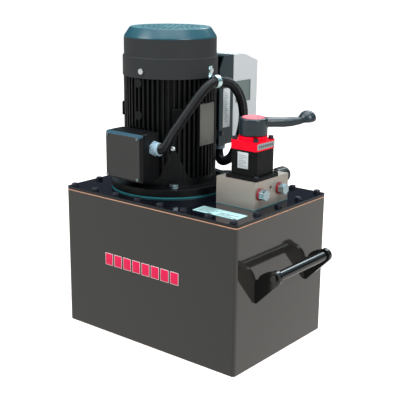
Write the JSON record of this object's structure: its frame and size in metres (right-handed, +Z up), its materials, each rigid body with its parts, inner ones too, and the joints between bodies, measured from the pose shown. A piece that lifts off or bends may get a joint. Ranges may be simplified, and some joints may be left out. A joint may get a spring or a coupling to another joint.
{
  "type": "hydraulic power unit",
  "caption": "Hydraulic power unit: black oil tank with side handles, vertical flange motor over an in-tank gear pump, lever valve on a manifold block, and a motor control box.",
  "frame": {"origin": "centre of the tank's flat base", "axes": "+X to the right along the tank's long front face, +Y to the back where the control box hangs, +Z up along the motor axis"},
  "size_m": [0.566, 0.3716, 0.635],
  "materials": {
    "gloss_black_paint": "high gloss",
    "cork_gasket": "matte",
    "dark_gasket": "satin",
    "zinc_steel": "satin",
    "dark_steel": "satin",
    "black_trim": "gloss",
    "handle_black": "gloss",
    "label_film": "satin",
    "motor_black": "painted satin",
    "cowl_black": "satin",
    "electrical_steel": "satin",
    "copper_winding": "satin",
    "ground_steel": "satin",
    "bearing_steel": "polished",
    "fan_plastic": "matte",
    "box_black": "satin",
    "insulator": "matte",
    "gland_grey": "satin",
    "conduit_black": "satin",
    "bracket_black": "gloss",
    "box_grey": "satin",
    "device_grey": "satin",
    "smoked_window": "gloss",
    "green_button": "satin",
    "red_button": "satin",
    "block_steel": "brushed",
    "seal_red": "satin",
    "valve_black": "satin",
    "valve_red": "satin",
    "lever_grey": "satin",
    "cast_aluminium": "cast",
    "pipe_steel": "satin"
  },
  "bodies": {
    "power_unit": {"tank_shell": "gloss_black_paint", "tank_floor": "gloss_black_paint", "tank_rim": "gloss_black_paint", "drain_plug": "zinc_steel", "sight_glass": "black_trim", "lid_gasket": "cork_gasket", "cover_plate": "gloss_black_paint", "cover_washers": "dark_steel", "cover_bolts": "dark_steel", "handle_legs": "handle_black", "handle_grips": "handle_black", "filler_neck": "zinc_steel", "labels": "label_film", "flange_gaskets": "dark_gasket", "motor_flange_shield": "motor_black", "flange_bolts": "zinc_steel", "motor_frame": "motor_black", "motor_rear_shield": "motor_black", "stator_core": "electrical_steel", "stator_windings": "copper_winding", "bearing_outer_rings": "bearing_steel", "fan_cowl": "cowl_black", "machine_screws": "zinc_steel", "terminal_box": "box_black", "terminal_box_lid": "box_black", "terminal_block": "insulator", "conduit_glands": "gland_grey", "conduit": "conduit_black", "conduit_clip": "zinc_steel", "box_bracket": "bracket_black", "box_back_plate": "box_grey", "box_cover": "box_grey", "contactor": "device_grey", "manifold_block": "block_steel", "port_plugs": "zinc_steel", "port_seal_rings": "seal_red", "relief_cartridge": "zinc_steel", "valve_body": "valve_black", "valve_top_plate": "valve_red", "valve_screws": "dark_steel", "pump_adapter": "cast_aluminium", "pump_body": "cast_aluminium", "pump_cover": "cast_aluminium", "oil_pipes": "pipe_steel"},
    "lever": {"valve_lever": "lever_grey", "valve_spindle": "ground_steel"},
    "motor_rotor": {"motor_shaft": "ground_steel", "rotor_core": "electrical_steel", "bearing_inner_rings": "bearing_steel", "cooling_fan": "fan_plastic", "shaft_coupling": "ground_steel", "drive_gear": "ground_steel"},
    "pump_idler": {"idler_gear": "ground_steel"},
    "relief_screw": {"relief_spindle": "zinc_steel"},
    "relief_handwheel": {"relief_knob": "black_trim"},
    "dipstick_lift": {"dipstick": "zinc_steel"},
    "filler_lid": {"filler_cap": "black_trim"},
    "button_window": {"window_flap": "smoked_window"},
    "start_push": {"start_button": "green_button"},
    "stop_push": {"stop_button": "red_button"}
  },
  "joints": [
    {"name": "lever_turn", "type": "hinge", "parent": "power_unit", "child": "lever", "pos_m": [0.154, -0.011, 0.45], "axis": [0, 0, 1], "range_deg": [-45, 45]},
    {"name": "motor_spin", "type": "hinge", "parent": "power_unit", "child": "motor_rotor", "pos_m": [-0.068, 0, 0.43], "axis": [0, 0, 1], "continuous": true},
    {"name": "pump_idler_spin", "type": "hinge", "parent": "power_unit", "child": "pump_idler", "pos_m": [-0.068, 0.036, 0.14], "axis": [0, 0, 1], "continuous": true},
    {"name": "relief_knob_turn", "type": "hinge", "parent": "relief_screw", "child": "relief_handwheel", "pos_m": [0.156, 0.085, 0.342], "axis": [0, 1, 0], "range_deg": [-720, 720]},
    {"name": "relief_screw_travel", "type": "slide", "parent": "power_unit", "child": "relief_screw", "axis": [0, 1, 0], "range_m": [-0.003, 0.003]},
    {"name": "filler_cap_turn", "type": "hinge", "parent": "dipstick_lift", "child": "filler_lid", "pos_m": [0.078, 0.009, 0.333], "axis": [0, 0, 1], "range_deg": [0, 720]},
    {"name": "filler_lift", "type": "slide", "parent": "power_unit", "child": "dipstick_lift", "axis": [0, 0, 1], "range_m": [0, 0.012]},
    {"name": "window_hinge", "type": "hinge", "parent": "power_unit", "child": "button_window", "pos_m": [0.0005, 0.1872, 0.492], "axis": [0, 0, 1], "range_deg": [0, 110]},
    {"name": "start_press", "type": "slide", "parent": "power_unit", "child": "start_push", "axis": [-1, 0, 0], "range_m": [0, 0.003], "stiffness_N_per_m": 300, "springref_m": -0.002},
    {"name": "stop_press", "type": "slide", "parent": "power_unit", "child": "stop_push", "axis": [-1, 0, 0], "range_m": [0, 0.003], "stiffness_N_per_m": 300, "springref_m": -0.002}
  ],
  "couplings": [
    {"joint": "pump_idler_spin", "follows": "motor_spin", "ratio": -1},
    {"joint": "relief_knob_turn", "follows": "relief_screw_travel", "rad_per_m": 4188.8},
    {"joint": "filler_cap_turn", "follows": "filler_lift", "rad_per_m": 1047.2}
  ]
}
